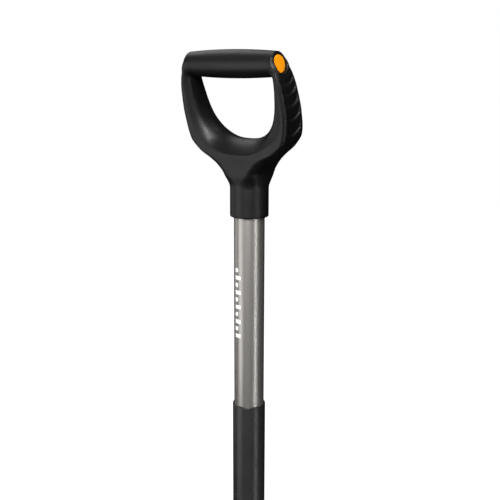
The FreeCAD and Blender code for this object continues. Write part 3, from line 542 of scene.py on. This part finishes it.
def grip_plastic():
    """Matt moulded plastic with a fine spark-eroded grain."""
    finish = Finish("grip_plastic", (0.003, 0.003, 0.003), 0.43, specular=0.36)
    finish.vary_colour(finish.noise(35), (0.0026, 0.0026, 0.0027), (0.0036, 0.0036, 0.0036))
    finish.vary_roughness(finish.noise(90), 0.41, 0.46)
    finish.bump(finish.noise(2600, 2.0), 0.12, 0.0002)
    return finish.material


def plug_plastic():
    """Glossier orange plastic, with a faint grain."""
    finish = Finish("plug_plastic", (0.93, 0.32, 0.005), 0.36, specular=0.35)
    finish.vary_colour(finish.noise(60), (0.90, 0.305, 0.004), (0.96, 0.34, 0.006))
    finish.vary_roughness(finish.noise(200), 0.32, 0.40)
    finish.bump(finish.noise(1800, 2.0), 0.08, 0.0002)
    return finish.material


def shaft_grey():
    """Satin metallic paint: a warm grey with a fine flake, drawn along the tube."""
    finish = Finish("shaft_grey", (0.38, 0.365, 0.345), 0.35, metallic=0.85)
    finish.vary_colour(finish.noise(3500, 1.0), (0.36, 0.345, 0.325), (0.40, 0.384, 0.364))
    finish.vary_roughness(finish.noise(160, 2.0, (1, 1, 0.05)), 0.32, 0.38)
    finish.bump(finish.noise(1500, 2.0, (1, 1, 0.08)), 0.03, 0.0001)
    return finish.material


def powder_coat(name, level, smooth, rough):
    """Black powder coat with a soft orange peel."""
    finish = Finish(name, (level,) * 3, smooth)
    finish.vary_colour(finish.noise(25), (level * 0.85,) * 3, (level * 1.15,) * 3)
    finish.vary_roughness(finish.noise(120), smooth, rough)
    finish.bump(finish.noise(420, 1.0), 0.12, 0.0003)
    finish.bump(finish.noise(2400, 1.0), 0.06, 0.0002)
    return finish.material


def blade_steel():
    """Ground and hardened steel: fine grinding lines, with a few darker stains."""
    finish = Finish("blade_steel", (0.42, 0.41, 0.40), 0.34, metallic=1.0)
    finish.vary_colour(finish.noise(18, 6.0), (0.30, 0.285, 0.27), (0.46, 0.455, 0.45), 0.3, 0.62)
    finish.vary_roughness(finish.noise(70, 3.0, (0.08, 1, 1)), 0.26, 0.44)
    finish.bump(finish.noise(900, 2.0, (1, 0.05, 0.05)), 0.16, 0.0002)
    return finish.material


def zinc_steel():
    """Zinc plating: cool, with small brighter spangles."""
    finish = Finish("zinc_steel", (0.6, 0.6, 0.61), 0.3, metallic=1.0)
    finish.vary_colour(finish.cells(700), (0.52, 0.525, 0.54), (0.66, 0.66, 0.665), 0.1, 0.7)
    finish.vary_roughness(finish.noise(300), 0.26, 0.38)
    finish.bump(finish.noise(2000, 2.0), 0.08, 0.0001)
    return finish.material


def mark_paint():
    """White printing ink, slightly worn."""
    finish = Finish("mark_paint", (0.86, 0.86, 0.86), 0.5)
    finish.vary_colour(finish.noise(900, 4.0), (0.74, 0.74, 0.735), (0.88, 0.88, 0.88), 0.3, 0.5)
    finish.bump(finish.noise(2500, 2.0), 0.05, 0.0001)
    return finish.material


def finish_node(name, material, edge):
    """Gives a carried CAD node its material, and eases its edges unless edge is 0."""
    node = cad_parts[name]
    node.data.materials.clear()
    node.data.materials.append(material)
    if edge:
        bevel = node.modifiers.new("eased_edges", "BEVEL")
        bevel.width = edge * MM
        bevel.segments = EDGE_SEGMENTS
        bevel.limit_method = "ANGLE"
        bevel.angle_limit = math.radians(EDGE_SHARP_ANGLE)


# --- Stage: metres, degrees and watts. Azimuth is 0 in front of the shovel, and grows to +X -------
CAMERA_PLACE = (0.49309, -0.65959, 0.25733)
CAMERA_HEADING = 36.728
CAMERA_DIP = 13.018
CAMERA_ROLL = 0.116
CAMERA_LENS = 58.35                 # in millimetres, as is the sensor
CAMERA_SENSOR = 36.0
GRIP_AIM = (0, 0, 0.12)
SHAFT_AIM = (0, 0, -0.1)
HEAD_AIM = (0, 0, -0.6)
BACKDROP_LEVEL = 1.0
SURROUND_LEVEL = 0.015
FLOOR_HALF_SIZE = 40.0
FLOOR_DROP = 0.0005
FLOOR_GLOW_RADIUS = 1.25
FLOOR_GLOW_RAMP = (0.1, 0.7)        # shares of the way in from that radius: dims from, dims to
FLOOR_CENTRE_LEVEL = 0.62

# Name, azimuth, elevation, distance, width, height, power, and the place that the light faces.
LIGHTS = [
    ("key_left", -32, -10, 1.9, 1.1, 1.6, 11.5, GRIP_AIM),
    ("strip_right", 86, -8, 1.7, 0.16, 3.2, 13.5, GRIP_AIM),
    ("front_top", 24, 31, 1.9, 0.85, 0.85, 56, GRIP_AIM),
    ("kicker", 88, 62, 1.9, 0.7, 0.7, 6, GRIP_AIM),
    ("front_fill", 24, -4, 2.5, 3.2, 3.0, 9, GRIP_AIM),
    ("side_left", -80, 8, 2.2, 0.8, 2.2, 6, SHAFT_AIM),
    ("back_top", -112, 50, 2.4, 1.4, 1.4, 14, GRIP_AIM),
]
HEAD_LIGHT = ("head_back", 215, 8, 1.3, 1.3, 0.8, 24, HEAD_AIM)


def make_camera():
    """The photograph's camera, as fitted to its outlines."""
    data = bpy.data.cameras.new("camera")
    data.sensor_width = CAMERA_SENSOR
    data.lens = CAMERA_LENS
    camera = bpy.data.objects.new("camera", data)
    heading = Matrix.Rotation(math.radians(CAMERA_HEADING), 4, "Z")
    dip = Matrix.Rotation(math.radians(90 - CAMERA_DIP), 4, "X")
    roll = Matrix.Rotation(math.radians(CAMERA_ROLL), 4, "Z")
    camera.matrix_world = Matrix.Translation(CAMERA_PLACE) @ heading @ dip @ roll
    bpy.context.scene.collection.objects.link(camera)
    bpy.context.scene.camera = camera


def softbox(name, azimuth, elevation, distance, width, height, watts, aim):
    """Rectangular soft light that the camera doesn't see."""
    data = bpy.data.lights.new(name, "AREA")
    data.shape = "RECTANGLE"
    data.size = width
    data.size_y = height
    data.energy = watts
    light = bpy.data.objects.new(name, data)
    a = math.radians(azimuth)
    e = math.radians(elevation)
    away = Vector((math.sin(a) * math.cos(e), -math.cos(a) * math.cos(e), math.sin(e)))
    light.location = Vector(aim) + away * distance
    light.rotation_mode = "QUATERNION"
    light.rotation_quaternion = away.to_track_quat("Z", "Y")
    light.visible_camera = False
    bpy.context.scene.collection.objects.link(light)
    return light


def make_lights():
    """Soft lights around the shovel, and one that reaches only the back of its head."""
    for light in LIGHTS:
        softbox(*light)
    lit = bpy.data.collections.new("lit_from_behind")
    for name in HEAD_NODES + STEEL_NODES:
        lit.objects.link(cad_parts[name])
    softbox(*HEAD_LIGHT).light_linking.receiver_collection = lit


def make_world():
    """White backdrop; the object itself is lit by a dim even surround."""
    world = bpy.data.worlds.new("surround")
    bpy.context.scene.world = world
    world.use_nodes = True
    nodes = world.node_tree.nodes
    links = world.node_tree.links
    nodes.clear()
    path = nodes.new("ShaderNodeLightPath")
    shown = nodes.new("ShaderNodeBackground")
    shown.inputs["Color"].default_value = (BACKDROP_LEVEL,) * 3 + (1,)
    fill = nodes.new("ShaderNodeBackground")
    fill.inputs["Color"].default_value = (SURROUND_LEVEL,) * 3 + (1,)
    mix = nodes.new("ShaderNodeMixShader")
    output = nodes.new("ShaderNodeOutputWorld")
    links.new(path.outputs["Is Camera Ray"], mix.inputs["Fac"])
    links.new(fill.outputs[0], mix.inputs[1])
    links.new(shown.outputs[0], mix.inputs[2])
    links.new(mix.outputs[0], output.inputs["Surface"])


def make_floor():
    """Pale floor under the teeth, lit from within further out so that it joins the backdrop."""
    finish = Finish("floor", (0.5, 0.5, 0.5), 0.9, specular=0.0)
    gradient = finish.nodes.new("ShaderNodeTexGradient")
    gradient.gradient_type = "SPHERICAL"
    mapping = finish.nodes.new("ShaderNodeMapping")
    mapping.inputs["Scale"].default_value = (1 / FLOOR_GLOW_RADIUS,) * 3
    finish.links.new(finish.place, mapping.inputs["Vector"])
    finish.links.new(mapping.outputs["Vector"], gradient.inputs["Vector"])
    centre = (FLOOR_CENTRE_LEVEL,) * 3
    glow = finish.ramp(gradient.outputs["Fac"], *FLOOR_GLOW_RAMP, dark=(1, 1, 1), light=centre)
    finish.links.new(glow, finish.shader.inputs["Emission Color"])
    finish.shader.inputs["Emission Strength"].default_value = 1.0
    mesh = bpy.data.meshes.new("floor")
    size = FLOOR_HALF_SIZE
    corners = [(-size, -size, 0), (size, -size, 0), (size, size, 0), (-size, size, 0)]
    mesh.from_pydata(corners, [], [(0, 1, 2, 3)])
    mesh.materials.append(finish.material)
    floor = bpy.data.objects.new("floor", mesh)
    floor.location = (0, 0, FLOOR_Z * MM - FLOOR_DROP)
    floor.visible_glossy = False
    floor.visible_diffuse = False
    bpy.context.scene.collection.objects.link(floor)


# --- The whole ------------------------------------------------------------------------------------
grip_black = grip_plastic()
orange = plug_plastic()
grey = shaft_grey()
shaft_black = powder_coat("shaft_black", 0.014, 0.34, 0.42)
head_black = powder_coat("head_coat", 0.036, 0.38, 0.48)
steel = blade_steel()
zinc = zinc_steel()

make_grip(grip_black)
make_plugs(orange)
make_tubes(grey, shaft_black)
make_mark(mark_paint())

for name in HEAD_NODES:
    finish_node(name, head_black, 0.0 if name == "fulcrum_welds" else HEAD_EDGE)
finish_node("tooth_blade", steel, STEEL_EDGE)
for name in ZINC_NODES:
    finish_node(name, zinc, STEEL_EDGE)

make_camera()
make_lights()
make_world()
make_floor()
bpy.context.scene.view_settings.view_transform = "Standard"
